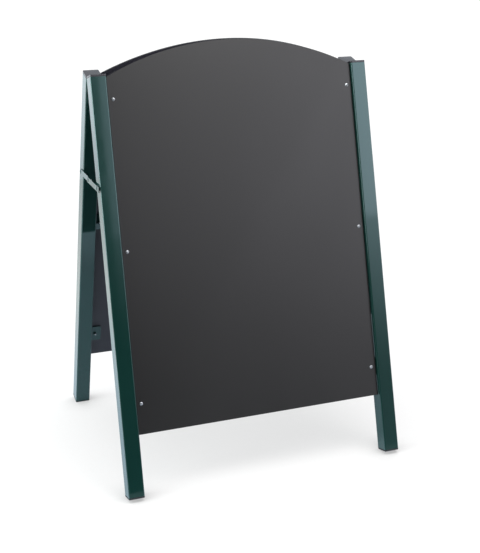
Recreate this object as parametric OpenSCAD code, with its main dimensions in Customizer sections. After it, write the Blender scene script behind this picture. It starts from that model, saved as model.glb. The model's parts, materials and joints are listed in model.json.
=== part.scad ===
// Menu chalkboard easel. Two arched chalkboards hang between square-tube legs, the two
// frames are hinged together at the top, and a folding stay on the left holds them open.
// +Z is up and the front board faces -Y. The origin is on the floor, in the middle of the
// object, with the easel standing open.

/* [Frames] */
// Width across the two legs of a frame
frame_w = 736; // [600:1:900]
// Length of a leg along its inner face, with its cap and foot
leg_len = 1030; // [950:1:1200]
// Lean of each leg from the vertical when the easel stands open
lean = 15.15; // [12:0.05:18]
// Side of the square leg tube
tube = 40; // [36:1:50]
// Wall of the leg tube
tube_wall = 1.5; // [1.5:0.1:2]
// Outer corner radius of the leg tube
tube_r = 3; // [2.5:0.1:4]

/* [Boards] */
// Thickness of a chalkboard
board_t = 4; // [3:0.5:6]
// Depth of the board's face behind the front of the legs
board_recess = 9; // [5:0.5:12]
// Gap between the board and each leg
board_gap = 1.5; // [1:0.1:3]
// Distance of the board's bottom edge down the leg
board_bottom = 879; // [860:1:900]
// Distance of the board's shoulders down the leg
shoulder_drop = 7; // [0:0.5:12]
// Height of the arch over its shoulders
arch_rise = 78; // [40:1:110]

/* [Board fixings] */
// Distance of the first screw down the leg
screw_top = 62; // [60:1:80]
// Distance from one screw to the next
screw_pitch = 371; // [340:1:380]
// Distance of the screws in from the leg
screw_inset = 14; // [12:0.5:18]
// Radius of the screws
screw_r = 2.5; // [2:0.25:3]
// Width of a tab, in from the leg
tab_w = 31; // [26:1:40]
// Height of a tab
tab_h = 46; // [36:1:60]
// Thickness of a tab
tab_t = 4; // [3:0.5:5]

/* [Caps and feet] */
// Height of the cap that shows over a tube
cap_h = 6; // [4:0.5:8]
// Height of the foot that shows under a tube
foot_h = 4.5; // [4:0.5:8]
// How far the foot's tip is flattened to stand on the floor
foot_flat = 1.5; // [1:0.1:2]

/* [Hinges] */
// Distance of the hinge axis from each leg's inner face
hinge_offset = 4.5; // [4.5:0.1:5.5]
// Width of a hinge along its pin
hinge_w = 30; // [24:1:30]
// Distance of the end of a hinge leaf down the leg
leaf_end = 72; // [60:1:90]
// Radius of a hinge pin
pin_r = 2; // [1.5:0.1:2.2]

/* [Stay] */
// Distance of the stay's pivots down the legs
stay_drop = 273; // [250:1:320]
// Height of the flat bar of the stay
bar_h = 14; // [12:1:18]
// Thickness of the flat bar
bar_t = 2; // [2:0.5:4]
// Radius of the stay's rivets
rivet_r = 3; // [2:0.5:3]

/* [Hidden] */
$fn = 48;
LEFT = -1;
RIGHT = 1;
ROWS = [0, 1, 2];
run_gap = 0.05;      // radial running clearance of pins and rivets
loose_gap = 0.25;    // radial clearance of screws in plain holes
over = 1;            // how far a cut runs past the solid that it cuts
big = 3000;

// The legs' inner faces would meet along this line, at the top of the open easel
apex_z = leg_len * cos(lean) - foot_flat;
inner_x = frame_w / 2 - tube;
leg_mid_x = frame_w / 2 - tube / 2;

// The board's face and back, measured from the leg's inner face
board_face = tube - board_recess;
board_back = board_face - board_t;
board_w = 2 * (inner_x - board_gap);
arch_r = (pow(board_w / 2, 2) + pow(arch_rise, 2)) / (2 * arch_rise);
head_r = 4.5;
head_h = 2.6;
slot_w = 1;
slot_depth = 1.4;
nut_af = 8;
nut_h = 4;
screw_tail = 2.5;
tab_corner = 4;

// Caps and feet: a rim over the tube's end and a hollow plug inside it
plug_depth = 22;
plug_wall = 2;
plug_gap = 0.1;
apex_gap = 0.2;

// Hinge barrel and leaves
axis_s = hinge_offset / tan(lean);
leaf_t = 2;
leaf_gap = 0.3;
barrel_r = hinge_offset - leaf_gap;
knuckle_w = (hinge_w - 2 * leaf_gap) / 3;
leaf_clear = barrel_r + 0.8;
leaf_screw_r = 2;
leaf_screw_len = 9;
leaf_screws = [34, 60];
cone_r = 2 * leaf_screw_r;    // countersunk heads, which lie just under the leaf's face
cone_gap = 0.2;
pin_head_r = 3.2;
pin_head_h = 1.5;

// Stay: its two links lie in two layers outside the left legs, and meet halfway
side_x = -frame_w / 2;
washer_t = 0.5;
link_gap = 0.3;
face_gap = 0.1;
rear_layer = washer_t + face_gap;
front_layer = rear_layer + bar_t + link_gap;
stay_half = stay_drop * sin(lean) + tube / 2 * cos(lean);
stay_z = apex_z - stay_drop * cos(lean) + tube / 2 * sin(lean);
bar_tail = tube / 2 / cos(lean) - 0.5;    // from the front link's pivot to its square end
link_over = 4;
lug_y = -38;
lug_w = 9;
lug_t = bar_t;
rivet_head_r = 5.5;
rivet_head_h = 1.5;
blind_head_r = 4.5;
blind_head_h = 2;
flush_head_h = 0.5;
spacer_r = 7;
stay_reach = front_layer + bar_t + rivet_head_h + face_gap;

// The stay stands out on the left, so the frames sit this much to the right of the origin
mid_x = stay_reach / 2;

// ---- Places ----

// A frame is drawn upright: z = 0 at the hinge line, the leg's inner face on y = 0 and its
// front on y = -tube. These lean it into place, as the front or the rear frame.
module front() {
    translate([mid_x, 0, apex_z])
        rotate([-lean, 0, 0])
            children();
}

module rear() {
    mirror([0, 1, 0])
        front()
            children();
}

module at_leg(side) {
    translate([side * leg_mid_x, -tube / 2, 0])
        children();
}

// A point on the board, at one of the six screws
module at_screw(side, row) {
    translate([side * (inner_x - screw_inset), -board_face, -(screw_top + row * screw_pitch)])
        children();
}

// Turns a shape drawn along +Z to lie along +Y
module along_y() {
    rotate([-90, 0, 0])
        children();
}

// Turns a shape drawn along +Z to lie along -X
module along_minus_x() {
    rotate([0, -90, 0])
        children();
}

// ---- Shapes ----

module rounded_square(size, r) {
    square([size, size - 2 * r], center = true);
    square([size - 2 * r, size], center = true);
    for (sx = [-1, 1], sy = [-1, 1])
        translate([sx * (size / 2 - r), sy * (size / 2 - r)])
            circle(r);
}

// A dome of radius r and height h, standing on z = 0
module dome(r, h) {
    ball_r = (r * r + h * h) / (2 * h);
    intersection() {
        translate([0, 0, h - ball_r])
            sphere(ball_r);
        cylinder(h = 2 * h, r = 2 * r);
    }
}

module ring(outer, inner, h) {
    difference() {
        cylinder(h = h, r = outer);
        translate([0, 0, -over])
            cylinder(h = h + 2 * over, r = inner);
    }
}

// The hollow plug of a cap or foot, reaching down from z = 0
module plug() {
    size = tube - 2 * tube_wall - 2 * plug_gap;
    hollow = size - 2 * plug_wall;
    translate([0, 0, -plug_depth])
        difference() {
            linear_extrude(plug_depth)
                rounded_square(size, tube_r - tube_wall);
            translate([0, 0, -plug_wall])
                linear_extrude(plug_depth)
                    square(hollow, center = true);
        }
}

// ---- Legs ----

module leg(side) {
    color("darkgreen")
        difference() {
            at_leg(side)
                translate([0, 0, -(leg_len - foot_h)])
                    difference() {
                        linear_extrude(leg_len - foot_h - cap_h)
                            rounded_square(tube, tube_r);
                        translate([0, 0, -over])
                            linear_extrude(leg_len)
                                rounded_square(tube - 2 * tube_wall, tube_r - tube_wall);
                    }
            leaf_screw_holes(side, leaf_screw_r);
            if (side == LEFT)
                translate([side_x + tube_wall + over, -tube / 2, -stay_drop])
                    along_minus_x()
                        cylinder(h = tube_wall + 2 * over, r = rivet_r + run_gap);
        }
}

// The cap's rim stops short of the other frame's cap, so that they never rub
module cap(side) {
    color([0.16, 0.15, 0.17])
        at_leg(side) {
            difference() {
                translate([0, 0, -cap_h])
                    linear_extrude(cap_h)
                        rounded_square(tube, tube_r);
                translate([-tube, tube / 2 - apex_gap, -tube])
                    cube([2 * tube, tube, 2 * tube]);
            }
            translate([0, 0, -cap_h])
                plug();
        }
}

module foot(side) {
    color([0.09, 0.09, 0.1])
        at_leg(side)
            translate([0, 0, -leg_len]) {
                linear_extrude(foot_h)
                    rounded_square(tube, tube_r);
                translate([0, 0, foot_h])
                    mirror([0, 0, 1])
                        plug();
            }
}

// Everything under the floor is cut off, which leaves each foot a small flat sole
module above_floor() {
    difference() {
        children();
        translate([-big / 2, -big / 2, -big])
            cube([big, big, big]);
    }
}

// ---- Boards ----

// The panel's outline, with z along the drawing's y: a rectangle under a round arch
module board_outline() {
    intersection() {
        translate([-board_w / 2, -board_bottom])
            square([board_w, board_bottom - shoulder_drop + arch_rise]);
        translate([0, arch_rise - shoulder_drop - arch_r])
            union() {
                circle(arch_r, $fn = 360);
                translate([-board_w / 2, -board_bottom])
                    square([board_w, board_bottom - arch_rise + arch_r]);
            }
    }
}

module board() {
    color([0.14, 0.14, 0.15])
        difference() {
            translate([0, -board_back, 0])
                rotate([90, 0, 0])
                    linear_extrude(board_t)
                        board_outline();
            for (side = [LEFT, RIGHT], row = ROWS)
                at_screw(side, row)
                    along_y()
                        translate([0, 0, -over])
                            cylinder(h = board_t + 2 * over, r = screw_r + loose_gap);
        }
}

// A tab is welded to the leg's side and stands behind the board
module tab(side, row) {
    color("darkgreen")
        difference() {
            translate([side * inner_x, -board_back + tab_t, -(screw_top + row * screw_pitch)])
                rotate([90, 0, 0])
                    linear_extrude(tab_t)
                        mirror([side > 0 ? 1 : 0, 0])
                            tab_outline();
            at_screw(side, row)
                along_y()
                    cylinder(h = tube, r = screw_r + loose_gap);
        }
}

module tab_outline() {
    translate([0, -tab_h / 2])
        square([tab_w - tab_corner, tab_h]);
    translate([0, tab_corner - tab_h / 2])
        square([tab_w, tab_h - 2 * tab_corner]);
    for (end = [-1, 1])
        translate([tab_w - tab_corner, end * (tab_h / 2 - tab_corner)])
            circle(tab_corner);
}

// Round-headed screws with a cross slot, through the board, tab and nut
module board_screws() {
    shank = board_t + tab_t + nut_h + screw_tail;
    color("silver")
        for (side = [LEFT, RIGHT], row = ROWS)
            at_screw(side, row)
                along_y() {
                    cylinder(h = shank, r = screw_r);
                    mirror([0, 0, 1])
                        difference() {
                            dome(head_r, head_h);
                            for (turn = [0, 90])
                                rotate(turn)
                                    translate([-head_r / 2, -slot_w / 2, head_h - slot_depth])
                                        cube([head_r, slot_w, head_h]);
                        }
                }
}

module weld_nuts() {
    color("darkgreen")
        for (side = [LEFT, RIGHT], row = ROWS)
            at_screw(side, row)
                along_y()
                    translate([0, 0, board_t + tab_t])
                        difference() {
                            cylinder(h = nut_h, r = nut_af / 2 / cos(30), $fn = 6);
                            translate([0, 0, -over])
                                cylinder(h = nut_h + 2 * over, r = screw_r + run_gap);
                        }
}

// ---- Hinges ----

module leaf_screw_holes(side, r) {
    for (drop = leaf_screws)
        translate([side * leg_mid_x, -tube_wall - over, -drop])
            along_y()
                cylinder(h = tube_wall + leaf_t + 2 * over, r = r);
}

// A cylinder around the hinge axis, from x0 to x1 across the hinge
module on_axis(side, x0, x1, r) {
    translate([side * leg_mid_x - hinge_w / 2 + x1, hinge_offset, -axis_s])
        along_minus_x()
            cylinder(h = x1 - x0, r = r);
}

// One leaf and its knuckles, which lie from x0 to x1 across the hinge for each span
module hinge_leaf(side, spans) {
    left_x = side * leg_mid_x - hinge_w / 2;
    color([0.1, 0.3, 0.22])
        difference() {
            union() {
                translate([left_x, 0, -leaf_end])
                    cube([hinge_w, leaf_t, leaf_end - axis_s - leaf_clear]);
                for (span = spans) {
                    translate([left_x + span[0], 0, -axis_s - leaf_clear - over])
                        cube([span[1] - span[0], leaf_t, leaf_clear + over]);
                    on_axis(side, span[0], span[1], barrel_r);
                }
            }
            on_axis(side, -over, hinge_w + over, pin_r + run_gap);
            leaf_screw_holes(side, leaf_screw_r + run_gap);
            for (drop = leaf_screws)
                translate([side * leg_mid_x, leaf_t - leaf_screw_r, -drop])
                    along_y()
                        cylinder(h = leaf_screw_r + cone_gap, r1 = leaf_screw_r, r2 = cone_r + 2 * cone_gap);
        }
}

module front_leaf(side) {
    hinge_leaf(side, [[0, knuckle_w], [hinge_w - knuckle_w, hinge_w]]);
}

module rear_leaf(side) {
    hinge_leaf(side, [[knuckle_w + leaf_gap, hinge_w - knuckle_w - leaf_gap]]);
}

module hinge_pin(side) {
    color("silver") {
        on_axis(side, -face_gap, hinge_w + face_gap, pin_r);
        on_axis(side, -face_gap - pin_head_h, -face_gap, pin_head_r);
        on_axis(side, hinge_w + face_gap, hinge_w + face_gap + pin_head_h, pin_head_r);
    }
}

// Countersunk screws that hold the leaves to the legs
module hinge_screws() {
    color("silver")
        for (side = [LEFT, RIGHT], drop = leaf_screws)
            translate([side * leg_mid_x, leaf_t - cone_gap, -drop])
                rotate([90, 0, 0]) {
                    cylinder(h = leaf_screw_len, r = leaf_screw_r - run_gap);
                    cylinder(h = leaf_screw_r - cone_gap, r1 = cone_r - cone_gap, r2 = leaf_screw_r);
                }
}

// ---- Stay ----

// Extrudes an outline, drawn with y and z as its axes, outwards from the given layer
module bar(layer) {
    translate([mid_x + side_x - layer - bar_t, 0, stay_z])
        rotate([90, 0, 90])
            linear_extrude(bar_t)
                children();
}

// A round piece along the stay's rivets, from layer x0 to x1 out from the legs
module stay_pin(y, x0, x1, r) {
    translate([mid_x + side_x - x0, y, stay_z])
        along_minus_x()
            cylinder(h = x1 - x0, r = r);
}

module stay_dome(y, layer) {
    translate([mid_x + side_x - layer, y, stay_z])
        along_minus_x()
            dome(rivet_head_r, rivet_head_h);
}

// A link's outline from its square end at from_y to a round end past the knuckle
module bar_outline(from_y, knuckle_y) {
    low = min(from_y, knuckle_y);
    translate([low, -bar_h / 2])
        square([abs(knuckle_y - from_y), bar_h]);
    translate([knuckle_y, 0])
        circle(bar_h / 2);
}

module front_link() {
    color([0.16, 0.36, 0.3])
        difference() {
            bar(front_layer)
                bar_outline(-stay_half - bar_tail, link_over);
            for (y = [-stay_half, 0])
                stay_pin(y, front_layer - over, front_layer + bar_t + over, rivet_r + run_gap);
        }
}

// The rear link has a round end at its leg, and runs on past the knuckle to a lug that
// rests on the front link
module rear_link() {
    lug_z = bar_h / 2 + link_gap;
    color([0.16, 0.36, 0.3])
        difference() {
            union() {
                bar(rear_layer) {
                    bar_outline(stay_half, lug_y);
                    translate([stay_half, 0])
                        circle(bar_h / 2);
                    translate([lug_y - lug_w / 2, 0])
                        square([lug_w, lug_z + lug_t]);
                }
                translate([mid_x + side_x - front_layer - bar_t, lug_y - lug_w / 2, stay_z + lug_z])
                    cube([bar_t + link_gap + bar_t, lug_w, lug_t]);
            }
            for (y = [stay_half, 0])
                stay_pin(y, rear_layer - over, rear_layer + bar_t + over, rivet_r + run_gap);
        }
}

// A painted rivet that a link turns on: blind head in the tube, shank, and a dome outside the link
module leg_rivet(y, layer) {
    out = layer + bar_t + face_gap;
    color([0.16, 0.36, 0.3]) {
        stay_pin(y, -tube_wall, out, rivet_r);
        stay_pin(y, -tube_wall - blind_head_h, -tube_wall, blind_head_r);
        stay_dome(y, out);
    }
}

module leg_ring(y, outer, h) {
    color([0.16, 0.36, 0.3])
        translate([mid_x + side_x, y, stay_z])
            along_minus_x()
                ring(outer, rivet_r + run_gap, h);
}

// The knuckle's rivet is in two halves, one in each link, which meet between the links
module knuckle_head() {
    color([0.16, 0.36, 0.3]) {
        stay_pin(0, front_layer, front_layer + bar_t + face_gap, rivet_r);
        stay_dome(0, front_layer + bar_t + face_gap);
    }
}

module knuckle_tail() {
    color([0.16, 0.36, 0.3]) {
        stay_pin(0, rear_layer, rear_layer + bar_t, rivet_r);
        stay_pin(0, rear_layer - flush_head_h, rear_layer, blind_head_r);
    }
}

// ---- Nodes ----

front() leg(LEFT);  // front_leg_left
front() leg(RIGHT);  // front_leg_right
rear() leg(LEFT);  // rear_leg_left
rear() leg(RIGHT);  // rear_leg_right
front() cap(LEFT);  // front_cap_left
front() cap(RIGHT);  // front_cap_right
rear() cap(LEFT);  // rear_cap_left
rear() cap(RIGHT);  // rear_cap_right
above_floor() front() foot(LEFT);  // front_foot_left
above_floor() front() foot(RIGHT);  // front_foot_right
above_floor() rear() foot(LEFT);  // rear_foot_left
above_floor() rear() foot(RIGHT);  // rear_foot_right
front() board();  // front_board
rear() board();  // rear_board
front() tab(LEFT, 0);  // front_tab_left_top
front() tab(LEFT, 1);  // front_tab_left_middle
front() tab(LEFT, 2);  // front_tab_left_bottom
front() tab(RIGHT, 0);  // front_tab_right_top
front() tab(RIGHT, 1);  // front_tab_right_middle
front() tab(RIGHT, 2);  // front_tab_right_bottom
rear() tab(LEFT, 0);  // rear_tab_left_top
rear() tab(LEFT, 1);  // rear_tab_left_middle
rear() tab(LEFT, 2);  // rear_tab_left_bottom
rear() tab(RIGHT, 0);  // rear_tab_right_top
rear() tab(RIGHT, 1);  // rear_tab_right_middle
rear() tab(RIGHT, 2);  // rear_tab_right_bottom
front() board_screws();  // front_board_screws
rear() board_screws();  // rear_board_screws
front() weld_nuts();  // front_weld_nuts
rear() weld_nuts();  // rear_weld_nuts
front() front_leaf(LEFT);  // hinge_front_leaf_left
front() front_leaf(RIGHT);  // hinge_front_leaf_right
rear() rear_leaf(LEFT);  // hinge_rear_leaf_left
rear() rear_leaf(RIGHT);  // hinge_rear_leaf_right
front() hinge_pin(LEFT);  // hinge_pin_left
front() hinge_pin(RIGHT);  // hinge_pin_right
front() hinge_screws();  // hinge_front_screws
rear() hinge_screws();  // hinge_rear_screws
front_link();  // stay_front_link
rear_link();  // stay_rear_link
leg_rivet(-stay_half, front_layer);  // stay_front_pivot
leg_rivet(stay_half, rear_layer);  // stay_rear_pivot
leg_ring(-stay_half, spacer_r, front_layer - face_gap);  // stay_front_spacer
leg_ring(stay_half, spacer_r, washer_t);  // stay_rear_washer
knuckle_head();  // stay_knuckle_head
knuckle_tail();  // stay_knuckle_tail
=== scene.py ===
"""Looks of the menu chalkboard easel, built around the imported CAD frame. Blender 4.5."""
import json
import math

import bmesh
import bpy
from mathutils import Matrix, Vector

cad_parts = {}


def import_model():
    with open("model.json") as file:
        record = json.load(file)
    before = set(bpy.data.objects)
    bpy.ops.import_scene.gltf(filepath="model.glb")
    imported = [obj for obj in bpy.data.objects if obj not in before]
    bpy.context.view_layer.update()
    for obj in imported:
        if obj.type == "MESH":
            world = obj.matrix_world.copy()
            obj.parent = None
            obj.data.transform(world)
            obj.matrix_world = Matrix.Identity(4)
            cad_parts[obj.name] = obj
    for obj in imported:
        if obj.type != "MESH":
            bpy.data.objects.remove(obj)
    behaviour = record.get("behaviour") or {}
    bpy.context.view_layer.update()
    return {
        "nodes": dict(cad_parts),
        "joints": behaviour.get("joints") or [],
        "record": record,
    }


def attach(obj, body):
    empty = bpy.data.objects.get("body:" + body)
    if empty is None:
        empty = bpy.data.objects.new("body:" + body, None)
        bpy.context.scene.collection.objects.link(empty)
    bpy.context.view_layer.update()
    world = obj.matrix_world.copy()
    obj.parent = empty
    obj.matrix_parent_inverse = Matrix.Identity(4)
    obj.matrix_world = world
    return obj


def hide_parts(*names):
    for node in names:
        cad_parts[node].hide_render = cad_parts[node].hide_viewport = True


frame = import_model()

MM = 0.001
NODES = frame["nodes"]
BODY_OF = {
    node: body
    for body, nodes in frame["record"]["behaviour"]["bodies"].items()
    for node in nodes
}
JOINTS = {joint["name"]: joint for joint in frame["joints"]}

# Both frames are built upright and then leaned into place: z runs up the leg from the
# hinge axis, x runs across the board, and -y is the side that the board's face is on
LEAN = math.radians(JOINTS["fold"]["range_deg"][1]) / 2
AXIS = Vector(JOINTS["fold"]["pos_m"])
LEANING = Matrix.Rotation(-LEAN, 4, "X")
FRONT = Matrix.Translation(AXIS) @ LEANING
REAR = Matrix.Translation(AXIS) @ Matrix.Rotation(math.pi, 4, "Z") @ LEANING
PLACES = {"front": FRONT, "rear": REAR}
LEVEL = Matrix.Identity(4)

# Shapes are drawn flat and then stood up. STAND puts what is drawn in x and y into x and z,
# with the thickness toward -y. UPEND puts it into y and z, with the thickness along x.
STAND = Matrix.Rotation(math.pi / 2, 4, "X")
UPEND = Matrix(((0, 0, 1, 0), (1, 0, 0, 0), (0, 1, 0, 0), (0, 0, 0, 1)))


# ---- Reading the CAD ----

def points_of(node, place):
    """The node's points in the place's own coordinates."""
    inverse = place.inverted()
    return [inverse @ v.co for v in NODES[node].data.vertices]


def extent(points):
    """Lowest corner, highest corner and middle of some points."""
    low = Vector([min(p[i] for p in points) for i in range(3)])
    high = Vector([max(p[i] for p in points) for i in range(3)])
    return low, high, (low + high) / 2


def extent_of(node, place=LEVEL):
    """Lowest corner, highest corner and middle of a node, in the place's own coordinates."""
    return extent(points_of(node, place))


def clusters(node, place, reach):
    """The extents of a node's separate solids, which are further than reach apart in x and z."""
    groups = []
    for p in points_of(node, place):
        for group in groups:
            if math.hypot(p.x - group[0].x, p.z - group[0].z) < reach:
                group.append(p)
                break
        else:
            groups.append([p])
    return [extent(group) for group in groups]


# ---- Making pieces ----

def piece(name, bm, place, look, *nodes):
    """Finishes a mesh as one piece that stands for the nodes and rides on their body."""
    bmesh.ops.remove_doubles(bm, verts=bm.verts, dist=0.001 * MM)
    bmesh.ops.recalc_face_normals(bm, faces=bm.faces)
    mesh = bpy.data.meshes.new(name)
    bm.to_mesh(mesh)
    bm.free()
    mesh.shade_smooth()
    mesh.set_sharp_from_angle(angle=math.radians(50))
    mesh.materials.append(look)
    made = bpy.data.objects.new(name, mesh)
    bpy.context.scene.collection.objects.link(made)
    made.matrix_world = place
    normals = made.modifiers.new("normals", "WEIGHTED_NORMAL")
    normals.keep_sharp = True
    normals.weight = 100
    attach(made, BODY_OF[nodes[0]])
    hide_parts(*nodes)
    return made


def loft(bm, rings, wrap=False):
    """Skins a row of closed rings. It caps both ends, or joins the last ring to the first."""
    rows = [[bm.verts.new(p) for p in ring] for ring in rings]
    pairs = list(zip(rows, rows[1:]))
    if wrap:
        pairs.append((rows[-1], rows[0]))
    count = len(rows[0])
    for lower, upper in pairs:
        for i in range(count):
            j = (i + 1) % count
            bm.faces.new((lower[i], lower[j], upper[j], upper[i]))
    if not wrap:
        bm.faces.new(rows[0][::-1])
        bm.faces.new(rows[-1])


def add_mesh(bm, mesh, matrix):
    """Copies a mesh into bm, moved by the matrix."""
    start = len(bm.verts)
    bm.from_mesh(mesh)
    bm.verts.ensure_lookup_table()
    bmesh.ops.transform(bm, matrix=matrix, verts=bm.verts[start:])


def to_mesh(bm):
    """Turns bm into a scratch mesh with its faces looking outward, and frees bm."""
    bmesh.ops.recalc_face_normals(bm, faces=bm.faces)
    mesh = bpy.data.meshes.new("scratch")
    bm.to_mesh(mesh)
    bm.free()
    return mesh


def merge(bm, made, matrix=LEVEL):
    """Moves what is in made by the matrix, into bm."""
    mesh = to_mesh(made)
    add_mesh(bm, mesh, matrix)
    bpy.data.meshes.remove(mesh)


def rounded_rectangle(width, depth, radius, steps=6):
    """Points of a rounded rectangle round the origin, counterclockwise."""
    points = []
    for corner in range(4):
        turn = corner * math.pi / 2
        x = (width / 2 - radius) * (1 if corner in (0, 3) else -1)
        y = (depth / 2 - radius) * (1 if corner in (0, 1) else -1)
        for step in range(steps + 1):
            angle = turn + math.pi / 2 * step / steps
            points.append((x + radius * math.cos(angle), y + radius * math.sin(angle)))
    return points


def rounded_outline(corners, steps=5):
    """A polygon of (x, y, radius) corners with each corner rounded by its radius."""
    points = []
    for i, (x, y, radius) in enumerate(corners):
        here = Vector((x, y))
        before = Vector(corners[i - 1][:2]) - here
        after = Vector(corners[(i + 1) % len(corners)][:2]) - here
        if radius <= 0:
            points.append(here)
            continue
        half = before.angle(after) / 2
        before.normalize()
        after.normalize()
        centre = here + (before + after).normalized() * radius / math.sin(half)
        first = here + before * radius / math.tan(half) - centre
        last = here + after * radius / math.tan(half) - centre
        sweep = first.angle_signed(last)
        for step in range(steps + 1):
            turned = first.copy()
            turned.rotate(Matrix.Rotation(-sweep * step / steps, 2))
            points.append(centre + turned)
    return points


def slab(bm, outline, low, high, edge, steps=3):
    """Extrudes an outline, which lies in the first two axes, and rounds its rims by edge."""
    made = bmesh.new()
    bottom = [made.verts.new((x, y, low)) for x, y in outline]
    top = [made.verts.new((x, y, high)) for x, y in outline]
    faces = [made.faces.new(bottom[::-1]), made.faces.new(top)]
    for i in range(len(bottom)):
        j = (i + 1) % len(bottom)
        made.faces.new((bottom[i], bottom[j], top[j], top[i]))
    rims = [e for face in faces for e in face.edges]
    bmesh.ops.bevel(made, geom=rims, offset=edge, offset_type="OFFSET", segments=steps,
                    profile=0.5, affect="EDGES", clamp_overlap=True)
    merge(bm, made)


def along(axis):
    """Turns a shape drawn along +Z so that it lies along the given axis."""
    return Vector((0, 0, 1)).rotation_difference(Vector(axis)).to_matrix().to_4x4()


def lathe(bm, profile, segments=40, matrix=LEVEL, wrap=False):
    """Spins (radius, height) points round Z. Points at radius 0 close the ends."""
    rows = []
    for radius, height in profile:
        count = 1 if radius == 0 else segments
        rows.append([
            bm.verts.new(matrix @ Vector((
                radius * math.cos(math.tau * i / segments),
                radius * math.sin(math.tau * i / segments),
                height,
            )))
            for i in range(count)
        ])
    pairs = list(zip(rows, rows[1:]))
    if wrap:
        pairs.append((rows[-1], rows[0]))
    for lower, upper in pairs:
        for i in range(segments):
            j = (i + 1) % segments
            if len(lower) == 1 and len(upper) == 1:
                continue
            if len(lower) == 1:
                bm.faces.new((lower[0], upper[j], upper[i]))
            elif len(upper) == 1:
                bm.faces.new((lower[i], lower[j], upper[0]))
            else:
                bm.faces.new((lower[i], lower[j], upper[j], upper[i]))


def dome_profile(radius, height, rim, steps=8):
    """A dome over a short straight rim, from the rim's foot at height 0 to the top."""
    cap = height - rim
    ball = (radius * radius + cap * cap) / (2 * cap)
    open_angle = math.asin(min(1, radius / ball))
    profile = [(radius, 0)]
    for step in range(steps + 1):
        angle = open_angle * (1 - step / steps)
        profile.append((ball * math.sin(angle), rim + cap - ball * (1 - math.cos(angle))))
    profile[-1] = (0, height)
    return profile


def cut(target, cutter):
    """The target mesh with the cutter mesh taken away. Both scratch meshes are used up."""
    solids = []
    for mesh in (target, cutter):
        solid = bpy.data.objects.new("solid", mesh)
        bpy.context.scene.collection.objects.link(solid)
        solids.append(solid)
    taken = solids[0].modifiers.new("cut", "BOOLEAN")
    taken.operation = "DIFFERENCE"
    taken.solver = "EXACT"
    taken.object = solids[1]
    graph = bpy.context.evaluated_depsgraph_get()
    result = bpy.data.meshes.new_from_object(solids[0].evaluated_get(graph))
    for solid in solids:
        bpy.data.objects.remove(solid)
    for mesh in (target, cutter):
        bpy.data.meshes.remove(mesh)
    return result


# ---- Materials ----

class Graph:
    """Short calls for the nodes of a material or of the world."""

    def __init__(self, tree):
        self.tree = tree

    def node(self, kind, **settings):
        made = self.tree.nodes.new("ShaderNode" + kind)
        for key, value in settings.items():
            setattr(made, key, value)
        return made

    def link(self, source, target):
        self.tree.links.new(source, target)

    def spread(self, source, low, high, to_low, to_high, kind="LINEAR"):
        """Maps low..high to to_low..to_high, and holds the ends."""
        made = self.node("MapRange", clamp=True, interpolation_type=kind)
        sockets = ("From Min", "From Max", "To Min", "To Max")
        for socket, value in zip(sockets, (low, high, to_low, to_high)):
            made.inputs[socket].default_value = value
        self.link(source, made.inputs["Value"])
        return made.outputs["Result"]

    def math(self, operation, a, b):
        made = self.node("Math", operation=operation)
        for socket, value in zip(made.inputs, (a, b)):
            if isinstance(value, (int, float)):
                socket.default_value = value
            else:
                self.link(value, socket)
        return made.outputs["Value"]

    def product(self, *factors):
        result = factors[0]
        for factor in factors[1:]:
            result = self.math("MULTIPLY", result, factor)
        return result

    def axes(self, source):
        """The x, y and z of a vector."""
        made = self.node("SeparateXYZ")
        self.link(source, made.inputs["Vector"])
        return [made.outputs[axis] for axis in "XYZ"]

    def glowing(self, kind, colour, strength):
        """A shader that gives light. The strength is a number or comes from a node."""
        made = self.node(kind)
        made.inputs["Color"].default_value = (*colour, 1)
        if isinstance(strength, (int, float)):
            made.inputs["Strength"].default_value = strength
        else:
            self.link(strength, made.inputs["Strength"])
        return made.outputs[0]

    def both(self, a, b):
        made = self.node("AddShader")
        self.link(a, made.inputs[0])
        self.link(b, made.inputs[1])
        return made.outputs["Shader"]

    def seen_or_felt(self, seen, felt):
        """One shader for the camera, and another for reflections and bounced light."""
        made = self.node("MixShader")
        self.link(self.node("LightPath").outputs["Is Camera Ray"], made.inputs["Fac"])
        self.link(felt, made.inputs[1])
        self.link(seen, made.inputs[2])
        return made.outputs["Shader"]

    def blend(self, factor, a, b):
        """Mixes two colours by a value."""
        made = self.node("Mix", data_type="RGBA")
        for socket, value in ((made.inputs[0], factor), (made.inputs[6], a), (made.inputs[7], b)):
            if isinstance(value, tuple):
                socket.default_value = (*value, 1)
            else:
                self.link(value, socket)
        return made.outputs[2]


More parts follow.
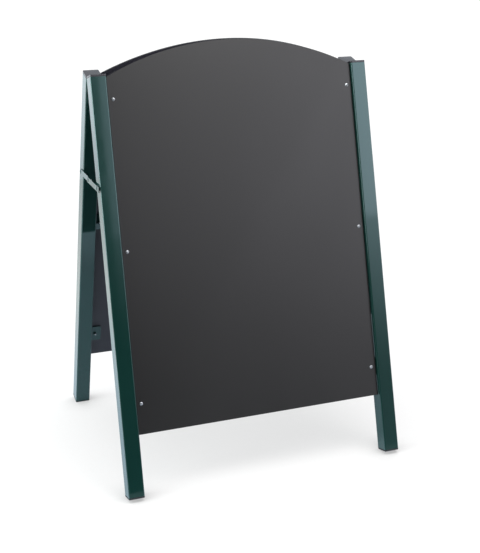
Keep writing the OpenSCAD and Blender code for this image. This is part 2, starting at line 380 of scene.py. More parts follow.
class Look(Graph):
    """A Principled material. Object coordinates are in metres."""

    def __init__(self, name, **values):
        self.material = bpy.data.materials.new(name)
        self.material.use_nodes = True
        super().__init__(self.material.node_tree)
        self.shader = self.tree.nodes["Principled BSDF"]
        for socket, value in values.items():
            self.shader.inputs[socket.replace("_", " ")].default_value = value
        self.coordinates = self.node("TexCoord")
        self.place = self.coordinates.outputs["Object"]
        self.height = None

    def stretched(self, scale):
        """Object coordinates scaled by three numbers."""
        mapping = self.node("Mapping")
        mapping.inputs["Scale"].default_value = scale
        self.link(self.place, mapping.inputs["Vector"])
        return mapping.outputs["Vector"]

    def noise(self, scale, detail=3.0, roughness=0.5, place=None, distortion=0.0):
        made = self.node("TexNoise")
        made.inputs["Scale"].default_value = scale
        made.inputs["Detail"].default_value = detail
        made.inputs["Roughness"].default_value = roughness
        made.inputs["Distortion"].default_value = distortion
        self.link(place or self.place, made.inputs["Vector"])
        return made.outputs["Fac"]

    def distance(self, point):
        """How far the place is from a point, in metres."""
        made = self.node("VectorMath", operation="DISTANCE")
        made.inputs[1].default_value = point
        self.link(self.place, made.inputs[0])
        return made.outputs["Value"]

    def cells(self, scale):
        made = self.node("TexVoronoi")
        made.inputs["Scale"].default_value = scale
        self.link(self.place, made.inputs["Vector"])
        return made.outputs["Distance"]

    def open_sky(self, reach, samples):
        """1 where nothing stands within reach, in metres, and less where something does."""
        made = self.node("AmbientOcclusion", samples=samples)
        made.inputs["Distance"].default_value = reach
        return made.outputs["AO"]

    def ramp(self, source, *stops):
        """Colours along a 0..1 value, as (position, colour) stops."""
        made = self.node("ValToRGB")
        elements = made.color_ramp.elements
        for element, (position, colour) in zip(elements, (stops[0], stops[-1])):
            element.position = position
            element.color = (*colour, 1)
        for position, colour in stops[1:-1]:
            elements.new(position).color = (*colour, 1)
        self.link(source, made.inputs["Fac"])
        return made.outputs["Color"]

    def colour(self, source):
        self.link(source, self.shader.inputs["Base Color"])

    def roughness(self, source):
        self.link(source, self.shader.inputs["Roughness"])

    def bump(self, source, depth):
        """Adds relief of that depth, in metres, on top of what is already there."""
        made = self.node("Bump")
        made.inputs["Strength"].default_value = 1
        made.inputs["Distance"].default_value = depth
        self.link(source, made.inputs["Height"])
        if self.height is not None:
            self.link(self.height, made.inputs["Normal"])
        self.height = made.outputs["Normal"]
        self.link(self.height, self.shader.inputs["Normal"])


def lacquer_look():
    """Glossy dark green lacquer over steel, with a faint orange peel and a few dust nibs."""
    look = Look("frame_lacquer", IOR=1.56, Specular_Tint=(0.78, 1, 1, 1))
    broad = look.noise(5, detail=4)
    flake = look.noise(1400, detail=2)
    body = look.ramp(broad, (0.35, (0.0053, 0.0258, 0.0206)), (0.65, (0.0063, 0.0296, 0.0240)))
    sparkle = look.ramp(flake, (0.3, (0.0048, 0.0236, 0.0188)), (0.75, (0.0073, 0.0326, 0.0264)))
    look.colour(look.blend(look.spread(flake, 0.4, 0.7, 0.2, 0.6), body, sparkle))
    look.roughness(look.spread(look.noise(38, detail=5), 0.3, 0.7, 0.025, 0.05))
    look.bump(look.noise(330, detail=1.5), 0.004 * MM)
    look.bump(look.spread(look.cells(95), 0, 0.06, 1, 0), 0.03 * MM)
    return look.material


def chalkboard_look():
    """Satin black panel with a fine tooth for chalk and a faint cloud of old wiping. Its back,
    which faces +y in the board's own coordinates, is plainer, duller and slightly purple."""
    look = Look("chalkboard", IOR=1.51, Specular_Tint=(1, 0.98, 0.925, 1))
    tall = look.stretched((1, 1, 0.6))
    cloud = look.noise(3.2, detail=5, roughness=0.55, place=tall, distortion=0.4)
    tooth = look.noise(2600, detail=2)
    grain = look.noise(700, detail=3)
    base = look.ramp(cloud, (0.3, (0.0026, 0.0025, 0.0023)), (0.7, (0.0038, 0.0036, 0.0034)))
    worn = look.ramp(grain, (0.35, (0.0038, 0.0037, 0.0036)), (0.7, (0.0072, 0.0070, 0.0068)))
    face = look.blend(look.spread(tooth, 0.35, 0.7, 0.2, 0.7), base, worn)
    back = look.ramp(grain, (0.35, (0.0180, 0.0156, 0.0235)), (0.7, (0.0250, 0.0218, 0.0325)))
    behind = look.spread(look.axes(look.coordinates.outputs["Normal"])[1], 0.5, 0.7, 0, 1)
    look.colour(look.blend(behind, face, back))
    satin = look.spread(cloud, 0.3, 0.7, 0.34, 0.39)
    look.roughness(look.math("ADD", satin, look.product(behind, 0.2)))
    look.bump(tooth, 0.008 * MM)
    look.bump(grain, 0.008 * MM)
    return look.material


def cap_look():
    """Glossy black moulded plastic with soft flow marks."""
    look = Look("cap_plastic", IOR=1.5)
    flow = look.noise(60, detail=3, distortion=1.0)
    look.colour(look.ramp(flow, (0.3, (0.0115, 0.0110, 0.0130)), (0.7, (0.0165, 0.0155, 0.0180))))
    look.roughness(look.spread(look.noise(240, detail=4), 0.3, 0.7, 0.26, 0.38))
    look.bump(look.noise(900, detail=2), 0.008 * MM)
    look.bump(flow, 0.04 * MM)
    return look.material


def foot_look():
    """Matte black plastic with a stippled mould texture and a few pale scuffs."""
    look = Look("foot_plastic", IOR=1.47)
    scuff = look.spread(look.noise(130, detail=6, roughness=0.7), 0.62, 0.74, 0, 0.4)
    base = look.ramp(look.noise(500), (0.3, (0.006, 0.006, 0.0065)), (0.7, (0.011, 0.011, 0.0115)))
    look.colour(look.blend(scuff, base, (0.034, 0.033, 0.032)))
    look.roughness(look.spread(look.noise(300), 0.3, 0.7, 0.5, 0.68))
    look.bump(look.cells(1500), 0.04 * MM)
    return look.material


def zinc_look():
    """Bright zinc plate: a fine crystalline grain with soft dull patches."""
    look = Look("bright_zinc", Metallic=1.0)
    grain = look.noise(2200, detail=3)
    patch = look.noise(420, detail=4)
    look.colour(look.ramp(patch, (0.3, (0.36, 0.365, 0.375)), (0.7, (0.45, 0.455, 0.46))))
    look.roughness(look.spread(patch, 0.3, 0.7, 0.52, 0.42))
    look.bump(grain, 0.006 * MM)
    return look.material


LACQUER = lacquer_look()
CHALKBOARD = chalkboard_look()
CAP_PLASTIC = cap_look()
FOOT_PLASTIC = foot_look()
ZINC = zinc_look()


# ---- Legs, caps and feet ----

TUBE_RADIUS = 3 * MM
TUBE_WALL = 1.5 * MM


def square_ring(middle, width, depth, radius, z):
    """A rounded rectangle round the leg's middle line, at height z."""
    return [
        Vector((middle.x + x, middle.y + y, z))
        for x, y in rounded_rectangle(width, depth, radius)
    ]


def leg(node, place):
    """A square tube with slightly eased rims at both open ends."""
    low, high, middle = extent_of(node, place)
    width, depth = high.x - low.x, high.y - low.y
    ease = 0.35 * MM
    rings = []
    for z, sign in ((low.z, 1), (high.z, -1)):
        rim = [
            square_ring(middle, width - 2 * ease, depth - 2 * ease, TUBE_RADIUS - ease, z),
            square_ring(middle, width - 0.6 * ease, depth - 0.6 * ease, TUBE_RADIUS - 0.3 * ease,
                        z + sign * 0.3 * ease),
            square_ring(middle, width, depth, TUBE_RADIUS, z + sign * ease),
        ]
        rings += rim if sign > 0 else rim[::-1]
    for z in (high.z, low.z):
        rings.append(square_ring(middle, width - 2 * TUBE_WALL, depth - 2 * TUBE_WALL,
                                 TUBE_RADIUS - TUBE_WALL, z))
    bm = bmesh.new()
    loft(bm, rings, wrap=True)
    return piece(node + "_tube", bm, place, LACQUER, node)


def plug_rings(middle, width, depth, rim_z, away):
    """A ribbed plug, listed from its tip to the rim: away is the way the tip points."""
    gap = TUBE_WALL + 0.15 * MM
    groove = 1 * MM
    tip = 22 * MM
    stations = [(tip, groove + 1.2 * MM), (tip - 1.5 * MM, groove)]
    for rib in (17 * MM, 11.5 * MM, 6 * MM):
        stations += [
            (rib + 0.9 * MM, groove),
            (rib + 0.3 * MM, 0),
            (rib - 0.3 * MM, 0),
            (rib - 0.9 * MM, groove),
        ]
    stations.append((0, groove))
    rings = []
    for distance, inset in stations:
        shrink = 2 * (gap + inset)
        rings.append(square_ring(middle, width - shrink, depth - shrink, 1.3 * MM,
                                 rim_z + away * distance))
    return rings


def rim_rings(middle, width, depth, start, end, top_round, crown):
    """The rim that shows: a shadow groove, a straight side, a rounded shoulder and a crown."""
    way = 1 if end > start else -1

    def ring(inset, radius, z):
        return square_ring(middle, width - 2 * inset, depth - 2 * inset, radius, z)

    groove = 0.5 * MM
    rings = [
        ring(groove, TUBE_RADIUS - groove, start),
        ring(groove, TUBE_RADIUS - groove, start + way * 0.5 * MM),
        ring(0.15 * MM, TUBE_RADIUS, start + way * 0.6 * MM),
        ring(0, TUBE_RADIUS, start + way * 0.8 * MM),
    ]
    shoulder = end - way * (top_round + crown)
    steps = 6
    for step in range(steps + 1):
        angle = math.pi / 2 * step / steps
        inset = top_round * (1 - math.cos(angle))
        radius = max(TUBE_RADIUS - 0.4 * inset, 1 * MM)
        rings.append(ring(inset, radius, shoulder + way * top_round * math.sin(angle)))
    # The crown climbs to its full height over four rings that close in on the middle
    for inset, radius, rise in (
        (4.5 * MM, 0.95 * MM, 0.55),
        (9 * MM, 0.7 * MM, 0.85),
        (13.5 * MM, 0.45 * MM, 0.98),
        (16.65 * MM, 0.275 * MM, 1),
    ):
        rings.append(ring(top_round + inset, radius, end - way * crown * (1 - rise)))
    return rings


def cap(node, place):
    """A black cap with a crowned rim on the leg's top and a plug inside the tube."""
    rim_height = 6 * MM
    top = extent_of(node, place)[1].z
    low, high, middle = extent([
        p for p in points_of(node, place) if p.z > top - rim_height - 0.1 * MM
    ])
    width, depth = high.x - low.x, high.y - low.y
    bm = bmesh.new()
    rim = rim_rings(middle, width, depth, low.z, high.z, 0.8 * MM, 0.5 * MM)
    loft(bm, plug_rings(middle, width, depth, low.z, -1) + rim)
    return piece(node + "_moulding", bm, place, CAP_PLASTIC, node)


def foot(node, place, leg_node):
    """A cap like the top one, cut level with the floor. It is made in the world's coordinates."""
    leg_low, leg_high, middle = extent_of(leg_node, place)
    width, depth = leg_high.x - leg_low.x, leg_high.y - leg_low.y
    start = leg_low.z
    end = extent_of(node, place)[0].z
    bm = bmesh.new()
    rim = rim_rings(middle, width, depth, start, end, 1.2 * MM, 0.2 * MM)
    loft(bm, plug_rings(middle, width, depth, start, 1) + rim)
    bmesh.ops.transform(bm, matrix=place, verts=bm.verts)
    sliced = bmesh.ops.bisect_plane(bm, geom=bm.verts[:] + bm.edges[:] + bm.faces[:], dist=1e-7,
                                    plane_co=(0, 0, 0), plane_no=(0, 0, -1), clear_outer=True)
    edges = [e for e in sliced["geom_cut"] if isinstance(e, bmesh.types.BMEdge)]
    bmesh.ops.edgeloop_fill(bm, edges=edges)
    return piece(node + "_moulding", bm, LEVEL, FOOT_PLASTIC, node)


# ---- Boards and what holds them ----

# Points of one screw or nut lie closer together than this, and those of its neighbours don't
SCREW_REACH = 12 * MM


def board(node, place):
    """The panel: a rectangle under a round arch, with softly broken edges."""
    points = points_of(node, place)
    low, high, middle = extent(points)
    half = (high.x - low.x) / 2
    shoulder = max(p.z for p in points if abs(p.x - middle.x) > half - 0.5 * MM)
    rise = high.z - shoulder
    radius = (half * half + rise * rise) / (2 * rise)
    open_angle = math.asin(half / radius)
    corner = 1.5 * MM
    outline = rounded_outline([
        (-half, low.z, corner), (half, low.z, corner), (half, shoulder, 0), (-half, shoulder, 0),
    ], steps=3)
    outline = [p for p in outline if p.y < shoulder - 0.01 * MM]
    steps = 120
    for step in range(steps + 1):
        angle = open_angle * (1 - 2 * step / steps)
        outline.append(Vector((radius * math.sin(angle), high.z - radius * (1 - math.cos(angle)))))
    bm = bmesh.new()
    slab(bm, outline, -high.y, -low.y, 0.5 * MM)
    stand = Matrix.Translation((middle.x, 0, 0)) @ STAND
    bmesh.ops.transform(bm, matrix=stand, verts=bm.verts)
    return piece(node + "_panel", bm, place, CHALKBOARD, node)


def weld_bead(bm, start, end, across, out, size, seed):
    """A rippled fillet of weld from start to end, in the corner between across and out."""
    count = max(6, round((end - start).length / (0.8 * MM)))
    root = -0.25 * MM
    arc_steps = 6
    rings = []
    for i in range(count + 1):
        t = i / count
        middle = start.lerp(end, t)
        taper = min(1, 6 * t + 0.25, 6 * (1 - t) + 0.25)
        ripple = 0.86 + 0.14 * math.cos(i * 2.1 + seed)
        reach = size * taper * ripple
        ring = []
        for step in range(arc_steps + 1):
            angle = math.pi / 2 * step / arc_steps
            ring.append(middle + across * (reach * math.cos(angle)) + out * (reach * math.sin(angle)))
        ring.append(middle + across * root + out * reach)
        ring.append(middle + across * root + out * root)
        ring.append(middle + across * reach + out * root)
        rings.append(ring)
    loft(bm, rings)


def tab(node, place):
    """A plate that reaches in from the leg's side, with two weld beads along its back."""
    low, high, middle = extent_of(node, place)
    side = 1 if middle.x > 0 else -1
    near, far = (high.x, low.x) if side > 0 else (low.x, high.x)
    corner = 4 * MM
    bead_length = 13 * MM
    bead_inset = 3 * MM
    corners = [(near, low.z, 0), (near, high.z, 0), (far, high.z, corner), (far, low.z, corner)]
    bm = bmesh.new()
    slab(bm, rounded_outline(corners), -high.y, -low.y, 0.4 * MM)
    bmesh.ops.transform(bm, matrix=STAND, verts=bm.verts)
    inward = Vector((-side, 0, 0))
    back = Vector((0, 1, 0))
    for z, seed in ((low.z + bead_inset, 0), (high.z - bead_inset - bead_length, 2)):
        start = Vector((near, high.y, z))
        end = Vector((near, high.y, z + bead_length))
        weld_bead(bm, start, end, inward, back, 2.6 * MM, seed)
    return piece(node + "_plate", bm, place, LACQUER, node)


def cross_cutter(radius, depth, width):
    """Four tapering wings of a cross recess, drawn downwards from z = 0."""
    rings = []
    for z, reach, half in (
        (-depth, 0.3 * radius, 0.25 * width),
        (0, 0.58 * radius, 0.5 * width),
        (depth, 0.86 * radius, 0.75 * width),
    ):
        ring = []
        for turn in range(4):
            for x, y in ((half, -half), (reach, -half), (reach, half)):
                for _ in range(turn):
                    x, y = -y, x
                ring.append(Vector((x, y, z)))
        rings.append(ring)
    bm = bmesh.new()
    loft(bm, rings)
    return to_mesh(bm)


def thread_profile(radius, start, end, pitch):
    """Ridges of a thread between two heights, going from start to end."""
    way = 1 if end > start else -1
    profile = []
    count = int(abs(end - start) / pitch)
    root = radius - 0.45 * pitch
    for i in range(count):
        z = start + way * i * pitch
        profile += [(root, z), (root, z + way * 0.12 * pitch), (radius, z + way * 0.45 * pitch),
                    (radius, z + way * 0.58 * pitch), (root, z + way * 0.92 * pitch)]
    return profile


def board_screw_mesh(length, head_radius, head_height):
    """A dome-headed screw with a cross recess and a threaded tail. Its head points along +Z."""
    shank_radius = 2.5 * MM
    thread_start = -(length - 4.5 * MM)
    profile = dome_profile(head_radius, head_height, 0.35 * MM, steps=9)[::-1]
    profile += [(shank_radius, 0), (shank_radius, thread_start)]
    profile += thread_profile(shank_radius, thread_start, -(length - 0.7 * MM), 0.8 * MM)
    profile += [(shank_radius - 0.2 * MM, -(length - 0.6 * MM)), (shank_radius - 0.8 * MM, -length),
                (0, -length)]
    bm = bmesh.new()
    lathe(bm, profile, segments=36)
    cutter = cross_cutter(head_radius, 1.5 * MM, 1.15 * MM)
    cutter.transform(Matrix.Translation((0, 0, head_height)))
    return cut(to_mesh(bm), cutter)


def board_screws(node, place):
    """The board's screws, each turned its own way as a hand would leave it."""
    solids = clusters(node, place, SCREW_REACH)
    low, high, _ = solids[0]
    head_height = 2.6 * MM
    mesh = board_screw_mesh(high.y - low.y - head_height, (high.x - low.x) / 2, head_height)
    bm = bmesh.new()
    for i, (low, high, middle) in enumerate(solids):
        seat = Vector((middle.x, low.y + head_height, middle.z))
        turn = Matrix.Rotation(0.35 + i * 1.9, 4, "Z")
        add_mesh(bm, mesh, Matrix.Translation(seat) @ along((0, -1, 0)) @ turn)
    bpy.data.meshes.remove(mesh)
    return piece(node + "_set", bm, place, ZINC, node)


def hexagon_ring(across_flats, limit, z, segments=48):
    """A hexagon whose corners are held inside a circle of radius limit."""
    ring = []
    for i in range(segments):
        angle = math.tau * i / segments
        from_flat = (angle % (math.pi / 3)) - math.pi / 6
        radius = min(across_flats / 2 / math.cos(from_flat), limit)
        ring.append(Vector((radius * math.cos(angle), radius * math.sin(angle), z)))
    return ring


def weld_nuts(node, place):
    """Hexagon nuts with chamfered corners, welded down to the tabs."""
    bore = 2.55 * MM
    bm = bmesh.new()
    for low, high, middle in clusters(node, place, SCREW_REACH):
        height = high.y - low.y
        flats = min(high.x - low.x, high.z - low.z)
        corner = flats / 2 / math.cos(math.pi / 6)
        rings = [hexagon_ring(flats, corner, z * height) for z in (0, 0.2, 0.78)]
        for t in (0.25, 0.5, 0.75, 1):
            limit = corner - (corner - flats / 2) * t
            rings.append(hexagon_ring(flats, limit, height * (0.78 + 0.2 * t * t)))
        # Inside the flats, the limit alone makes the ring a circle
        for limit, z in (
            (flats / 2 - 0.35 * MM, height),
            (bore + 0.5 * MM, height),
            (bore, height - 0.4 * MM),
            (bore, 0),
        ):
            rings.append(hexagon_ring(flats, limit, z))
        made = bmesh.new()
        loft(made, rings, wrap=True)
        merge(bm, made, Matrix.Translation((middle.x, low.y, middle.z)) @ along((0, 1, 0)))
    return piece(node + "_set", bm, place, LACQUER, node)


# ---- Hinges ----

def hinge_leaf(node, place, pin_node):
    """A leaf whose end is rolled round the pin, with knuckles only where the CAD has them."""
    points = points_of(node, place)
    low, high, _ = extent(points)
    axis_y, axis_z = extent_of(pin_node, place)[2].yz
    barrel = high.z - axis_z
    thick = 2 * MM
    corner = 1.5 * MM
    edge = 0.25 * MM
    plate_top = axis_z - barrel - 0.8 * MM
    plate = rounded_outline([
        (low.x, low.z, corner), (high.x, low.z, corner), (high.x, plate_top, 0), (low.x, plate_top, 0),
    ], steps=4)
    bm = bmesh.new()
    slab(bm, plate, -(low.y + thick), -low.y, edge)
    bmesh.ops.transform(bm, matrix=STAND, verts=bm.verts)
    knuckle = rolled_outline(low.y, thick, plate_top - 1 * MM, axis_y, axis_z, barrel)
    for start, end in knuckle_spans(points, axis_z, low, high):
        made = bmesh.new()
        slab(made, knuckle, start, end, edge)
        merge(bm, made, UPEND)
    return piece(node + "_plate", bm, place, LACQUER, node)


def knuckle_spans(points, axis_z, low, high):
    """Where the knuckles lie across the hinge, from the points above the pin's axis."""
    xs = sorted(set(round(p.x, 5) for p in points if p.z > axis_z + 1 * MM))
    middle = (low.x + high.x) / 2
    inner = [x for x in xs if abs(x - middle) < (high.x - low.x) / 2 - 1 * MM]
    if xs[0] < low.x + 1 * MM:
        left = [x for x in inner if x < middle]
        right = [x for x in inner if x > middle]
        return [(low.x, max(left)), (min(right), high.x)]
    return [(min(xs), max(xs))]


def rolled_outline(face, thick, bottom, axis_y, axis_z, radius):
    """The section of a knuckle, as (y, z): a strip that runs into a round barrel."""
    points = [Vector((face, bottom)), Vector((face + thick, bottom))]
    inner = math.acos((axis_y - face - thick) / radius)
    steps = 40
    start = -(math.pi - inner)
    end = math.pi - 0.35
    for step in range(steps + 1):
        angle = start + (end - start) * step / steps
        points.append(Vector((axis_y + radius * math.cos(angle), axis_z + radius * math.sin(angle))))
    points.append(Vector((face, axis_z - 0.5 * MM)))
    return points


def hinge_pin(node, place):
    """A rivet with a dome at both ends, along x."""
    low, high, middle = extent_of(node, place)
    head_height = 1.5 * MM
    shank_radius = 2 * MM
    shank = (high.x - low.x) / 2 - head_height
    dome = dome_profile((high.z - low.z) / 2, head_height, 0.4 * MM, steps=6)
    profile = [(radius, -shank - z) for radius, z in dome[::-1]]
    profile += [(shank_radius, -shank), (shank_radius, shank)]
    profile += [(radius, shank + z) for radius, z in dome]
    bm = bmesh.new()
    lathe(bm, profile, segments=32, matrix=Matrix.Translation(middle) @ along((1, 0, 0)))
    return piece(node + "_rivet", bm, place, ZINC, node)


def hinge_screws(node, place):
    """Countersunk screws with a cross recess."""
    solids = clusters(node, place, SCREW_REACH)
    low, high, _ = solids[0]
    head_radius = (high.x - low.x) / 2
    head_height = 1.8 * MM
    shank_radius = 1.95 * MM
    length = high.y - low.y
    thread_start = -3 * MM
    profile = [(0, 0), (head_radius - 0.25 * MM, 0), (head_radius, -0.2 * MM),
               (shank_radius, -head_height), (shank_radius, thread_start)]
    profile += thread_profile(shank_radius, thread_start, -(length - 1 * MM), 0.8 * MM)
    profile += [(shank_radius - 0.7 * MM, -(length - 0.8 * MM)), (0, -length)]
    solid = bmesh.new()
    lathe(solid, profile, segments=32)
    mesh = cut(to_mesh(solid), cross_cutter(head_radius, 1.2 * MM, 1 * MM))
    bm = bmesh.new()
    for i, (low, high, middle) in enumerate(solids):
        seat = Vector((middle.x, high.y, middle.z))
        turn = Matrix.Rotation(0.6 + i * 1.3, 4, "Z")
        add_mesh(bm, mesh, Matrix.Translation(seat) @ along((0, 1, 0)) @ turn)
    bpy.data.meshes.remove(mesh)
    return piece(node + "_set", bm, place, ZINC, node)


# ---- Stay ----

RIVET_HEAD = 1.5 * MM
RIVET_RIM = 0.4 * MM
RIVET_SHANK = 3 * MM


def link_outline(knuckle_y, end_y, pivot_z, half, corner, steps):
    """The bar as (y, z): a round end past the knuckle, and two rounded corners at its far end."""
    side = math.copysign(1, end_y - knuckle_y)
    outline = []
    round_steps = 24
    for step in range(round_steps + 1):
        angle = math.pi * (step / round_steps - 0.5)
        outline.append(Vector((knuckle_y - side * half * math.cos(angle),
                               pivot_z + half * math.sin(angle))))
    for up, first in ((1, math.pi / 2), (-1, 0)):
        centre = Vector((end_y - side * corner, pivot_z + up * (half - corner)))
        for step in range(steps + 1):
            angle = first - math.pi / 2 * step / steps
            outline.append(centre + corner * Vector((side * math.cos(angle), math.sin(angle))))
    return outline


def lug(bm, points, bar_near, bar_far, foot_z):
    """A hook on top of the bar, as thick as the bar, that reaches over the other link."""
    low, high, _ = extent(points)
    under = high.z - (bar_far - bar_near)
    section = rounded_outline([
        (bar_far, foot_z, 0), (bar_far, high.z, 1.6 * MM),
        (low.x, high.z, 0.5 * MM), (low.x, under, 0.5 * MM),
        (bar_near, under, 0), (bar_near, foot_z, 0),
    ], steps=6)
    made = bmesh.new()
    slab(made, section, low.y, high.y, 0.3 * MM)
    swap_y_and_z = Matrix(((1, 0, 0, 0), (0, 0, 1, 0), (0, 1, 0, 0), (0, 0, 0, 1)))
    merge(bm, made, swap_y_and_z)


def stay_link(node):
    """A flat bar, round past the knuckle. The front link's other end is square, and the rear
    link's is round. A lug stands on it where the CAD has one."""
    points = points_of(node, LEVEL)
    pivot_z = JOINTS["stay_front_turn"]["pos_m"][2]
    half = pivot_z - extent(points)[0].z
    bar_points = [p for p in points if p.z < pivot_z + half + 0.05 * MM]
    low, high, _ = extent(bar_points)
    sides = [p.x for p in bar_points if abs(p.z - pivot_z) < half - 1 * MM]
    near, far = min(sides), max(sides)
    if node == "stay_front_link":
        outline = link_outline(high.y - half, low.y, pivot_z, half, 1.5 * MM, steps=4)
    else:
        outline = link_outline(low.y + half, high.y, pivot_z, half, half, steps=12)
    bm = bmesh.new()
    slab(bm, outline, near, far, 0.35 * MM)
    bmesh.ops.transform(bm, matrix=UPEND, verts=bm.verts)
    lug_points = [p for p in points if p.z > pivot_z + half + 0.2 * MM]
    if lug_points:
        lug(bm, lug_points, near, far, pivot_z + half - 2 * MM)
    return piece(node + "_bar", bm, LEVEL, LACQUER, node)


def stay_rivet(node, profile, seat_x):
    """Spins a rivet's profile round the line along x through the node's middle."""
    middle = extent_of(node)[2]
    bm = bmesh.new()
    seat = Matrix.Translation((seat_x, middle.y, middle.z))
    lathe(bm, profile, segments=40, matrix=seat @ along((-1, 0, 0)))
    return piece(node + "_rivet", bm, LEVEL, LACQUER, node)


def leg_rivet(node):
    """A domed rivet through a link and the leg's wall, with a blind head inside the leg."""
    low, high, _ = extent_of(node)
    inside = RIVET_HEAD - (high.x - low.x)
    blind_radius = 4.5 * MM
    blind_height = 2 * MM
    profile = [
        (0, inside),
        (blind_radius - 0.3 * MM, inside),
        (blind_radius, inside + 0.4 * MM),
        (blind_radius, inside + blind_height),
        (RIVET_SHANK, inside + blind_height),
        (RIVET_SHANK, 0),
    ]
    profile += dome_profile((high.y - low.y) / 2, RIVET_HEAD, RIVET_RIM, steps=8)
    return stay_rivet(node, profile, low.x + RIVET_HEAD)


def knuckle_head(node):
    """The knuckle rivet's half on the front link: a dome outside and a short shank."""
    low, high, _ = extent_of(node)
    inside = RIVET_HEAD - (high.x - low.x)
    profile = [(0, inside), (RIVET_SHANK, inside), (RIVET_SHANK, 0)]
    profile += dome_profile((high.y - low.y) / 2, RIVET_HEAD, RIVET_RIM, steps=8)
    return stay_rivet(node, profile, low.x + RIVET_HEAD)


def knuckle_tail(node):
    """The knuckle rivet's half on the rear link: a flush head and a short shank."""
    low, high, _ = extent_of(node)
    radius = (high.y - low.y) / 2
    flush = 0.5 * MM
    shank = high.x - low.x - flush
    profile = [(0, -flush), (radius - 0.2 * MM, -flush), (radius, 0.15 * MM - flush), (radius, 0),
               (RIVET_SHANK, 0), (RIVET_SHANK, shank), (0, shank)]
    return stay_rivet(node, profile, high.x - flush)


def stay_ring(node):
    """A spacer or washer round a rivet, with broken rims."""
    low, high, middle = extent_of(node)
    outer = (high.y - low.y) / 2
    inner = RIVET_SHANK + 0.05 * MM
    height = high.x - low.x
    ease = min(0.25 * MM, height / 4)
    profile = [(inner, 0), (outer - ease, 0), (outer, ease), (outer, height - ease),
               (outer - ease, height), (inner, height)]
    bm = bmesh.new()
    lathe(bm, profile, segments=40, wrap=True,
          matrix=Matrix.Translation((high.x, middle.y, middle.z)) @ along((-1, 0, 0)))
    return piece(node + "_ring", bm, LEVEL, LACQUER, node)


# ---- The whole easel ----

for end, place in PLACES.items():
    for hand in ("left", "right"):
        leg(f"{end}_leg_{hand}", place)
        cap(f"{end}_cap_{hand}", place)
        foot(f"{end}_foot_{hand}", place, f"{end}_leg_{hand}")
        hinge_leaf(f"hinge_{end}_leaf_{hand}", place, f"hinge_pin_{hand}")
        for row in ("top", "middle", "bottom"):
            tab(f"{end}_tab_{hand}_{row}", place)
    board(f"{end}_board", place)
    board_screws(f"{end}_board_screws", place)
    weld_nuts(f"{end}_weld_nuts", place)
    hinge_screws(f"hinge_{end}_screws", place)
for hand in ("left", "right"):
    hinge_pin(f"hinge_pin_{hand}", FRONT)
for link in ("stay_front_link", "stay_rear_link"):
    stay_link(link)
leg_rivet("stay_front_pivot")
leg_rivet("stay_rear_pivot")
knuckle_head("stay_knuckle_head")
knuckle_tail("stay_knuckle_tail")
stay_ring("stay_front_spacer")
stay_ring("stay_rear_washer")


# ---- Studio ----

def floor_look():
    """Pale with a very faint mottle. The camera sees it glow, with painted shade where the easel
    stands over it and by its feet. To the object it carries painted shade, bluer close by,
    and dim in front."""
    look = Look("studio_floor", IOR=1.3, Specular_IOR_Level=0.1)
    mottle = look.noise(1.5, detail=4)
    pale = look.ramp(mottle, (0.3, (0.955, 0.915, 0.88)), (0.7, (0.965, 0.925, 0.89)))
    # Painted shade, seen only in reflections and bounced light: bluer close round the easel
    shade = look.ramp(mottle, (0.3, (0.63, 0.70, 0.78)), (0.7, (0.65, 0.72, 0.80)))
    # Painted shade in front of the easel, also seen only in reflections and bounced light
    dim = (0.3, 0.3, 0.3)
    out_of_painted_shade = look.spread(look.distance((0, -0.3, 0)), 0.5, 1.8, 0, 1, "SMOOTHSTEP")
    clear_of_painted_dim = look.spread(look.axes(look.place)[1], -0.75, -0.4, 0, 1)
    look.colour(look.blend(clear_of_painted_dim, dim, look.blend(out_of_painted_shade, shade, pale)))
    look.roughness(look.spread(look.noise(20), 0.3, 0.7, 0.7, 0.8))

    matte = look.node("BsdfDiffuse")
    matte.inputs["Color"].default_value = (0.19, 0.182, 0.175, 1)
    # Painted shade: the floor's glow is dimmed by ambient occlusion under the easel and round its feet
    painted_shade_under_easel = look.spread(look.open_sky(1.1, samples=16), 0.4, 1, 0.61, 0.85)
    painted_shade_by_feet = look.spread(look.open_sky(0.07, samples=8), 0.35, 0.95, 0.7, 1)
    glow = look.glowing("Emission", (1, 1, 1), look.product(painted_shade_under_easel, painted_shade_by_feet))
    seen = look.both(matte.outputs["BSDF"], glow)
    shown = look.seen_or_felt(seen, look.shader.outputs["BSDF"])
    look.link(shown, look.tree.nodes["Material Output"].inputs["Surface"])
    return look.material


def floor():
    """A level sheet, 5.6 m wide, that runs further back than forward."""
    bm = bmesh.new()
    bmesh.ops.create_grid(bm, x_segments=8, y_segments=8, size=1)
    size = Matrix.Translation((0, 0.85, 0)) @ Matrix.Diagonal((2.8, 2.0, 1, 1))
    bmesh.ops.transform(bm, matrix=size, verts=bm.verts)
    mesh = bpy.data.meshes.new("floor")
    bm.to_mesh(mesh)
    bm.free()
    mesh.materials.append(floor_look())
    made = bpy.data.objects.new("floor", mesh)
    bpy.context.scene.collection.objects.link(made)


def softbox(name, place, target, width, height, power, tint=(1, 1, 1)):
    """An oblong lamp that the camera doesn't see, turned to its target."""
    light = bpy.data.lights.new(name, "AREA")
    light.shape = "RECTANGLE"
    light.size = width
    light.size_y = height
    light.energy = power
    light.color = tint
    made = bpy.data.objects.new(name, light)
    bpy.context.scene.collection.objects.link(made)
    made.location = place
    made.rotation_euler = (Vector(target) - Vector(place)).to_track_quat("-Z", "Y").to_euler()
    made.visible_camera = False


def cove_light(graph, y, z):
    """A white cove behind and at the sides, brightest near the floor's edge, and a dim light all
    round that grows upward."""
    cove = graph.spread(y, -0.55, 0.25, 0, 1, "SMOOTHSTEP")
    above = graph.spread(z, -0.05, 0.45, 1.85, 0.62)
    below = graph.spread(z, -0.24, -0.16, 0.65, 1)
    dim = graph.spread(z, 0.13, 0.35, 0.01, 0.46)
    return graph.math("ADD", graph.product(cove, above, below), dim)


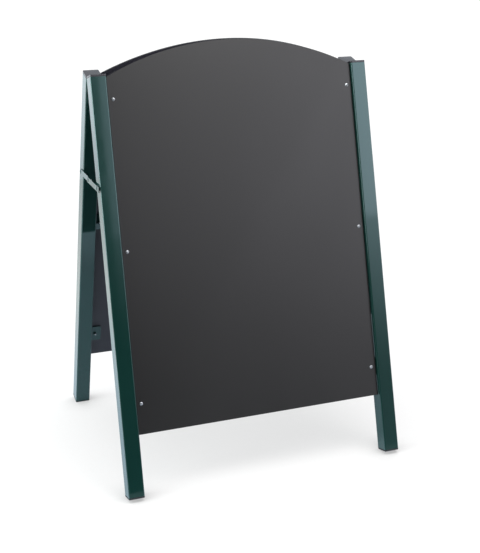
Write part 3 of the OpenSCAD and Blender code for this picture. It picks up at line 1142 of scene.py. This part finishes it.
def window_light(graph, x, y, z):
    """A large window on the right of the front. Directions are told by across, the tangent of
    the angle to the right of straight ahead, and z, so the window's sides are straight."""
    ahead = graph.math("MAXIMUM", graph.product(y, -1), 0.05)
    across = graph.math("DIVIDE", x, ahead)
    side = graph.math("SUBTRACT", across, graph.product(z, 0.0705))
    jamb = graph.spread(side, 0.2315, 0.2345, 0, 1)
    sill = graph.spread(graph.math("ADD", z, graph.product(across, 0.079)), 0.224, 0.232, 0, 0.35)
    slope = graph.math("ADD", z, graph.product(across, 0.2))
    climb = graph.spread(slope, 0.13, 0.36, 0, 0.69, "SMOOTHSTEP")
    pane = graph.product(graph.math("ADD", climb, sill), jamb)
    # A faint glow under the sill, to the right
    apron = graph.product(graph.spread(across, 0.42, 0.5, 0, 0.105), graph.spread(z, 0.1, 0.25, 1, 0))
    # The light grows past the jamb, sags a little in the middle and grows again to the right
    gain = graph.spread(across, 0.264, 0.285, 1.15, 3.1)
    gain = graph.math("SUBTRACT", gain, graph.spread(across, 0.3, 0.45, 0, 0.6))
    gain = graph.math("ADD", gain, graph.spread(across, 0.45, 0.85, 0, 3))
    head = graph.spread(z, 0.39, 0.52, 1, 0)
    front = graph.spread(y, -0.6, -0.45, 1, 0)
    return graph.product(graph.math("ADD", pane, apron), head, gain, front)


def world():
    """White to the camera. Everything else sees the cove and the window."""
    made = bpy.data.worlds.new("studio")
    bpy.context.scene.world = made
    made.use_nodes = True
    made.node_tree.nodes.clear()
    graph = Graph(made.node_tree)
    x, y, z = graph.axes(graph.node("TexCoord").outputs["Generated"])
    felt = graph.both(
        graph.glowing("Background", (0.91, 0.97, 1.04), cove_light(graph, y, z)),
        graph.glowing("Background", (0.96, 0.97, 1.1), window_light(graph, x, y, z)),
    )
    seen = graph.glowing("Background", (1, 1, 1), 1.1)
    graph.link(graph.seen_or_felt(seen, felt), graph.node("OutputWorld").inputs["Surface"])


def camera():
    """The photograph's view: slightly left of the front, a little above."""
    aim = Vector((-0.0672, 0.0, 0.6496))
    azimuth, elevation, roll = (math.radians(a) for a in (-19.385, 15.487, -0.198))
    distance = 2.715
    back = Vector((
        math.sin(azimuth) * math.cos(elevation),
        -math.cos(azimuth) * math.cos(elevation),
        math.sin(elevation),
    ))
    data = bpy.data.cameras.new("camera")
    data.lens = 67.79
    data.sensor_width = 36
    data.shift_x = 0.0682
    data.shift_y = -0.1358
    made = bpy.data.objects.new("camera", data)
    bpy.context.scene.collection.objects.link(made)
    made.location = aim + back * distance
    turn = (-back).to_track_quat("-Z", "Y").to_matrix().to_4x4() @ Matrix.Rotation(roll, 4, "Z")
    made.rotation_euler = turn.to_euler()
    bpy.context.scene.camera = made


floor()
world()
softbox("overhead", (0.35, -0.55, 2), (0, 0, 0.5), width=1, height=0.8, power=20)
softbox("left", (-2.4, -0.1, 1.4), (0, 0.1, 0.5), width=1.6, height=2.2, power=105, tint=(0.88, 0.98, 1))
camera()
bpy.context.scene.view_settings.view_transform = "Standard"
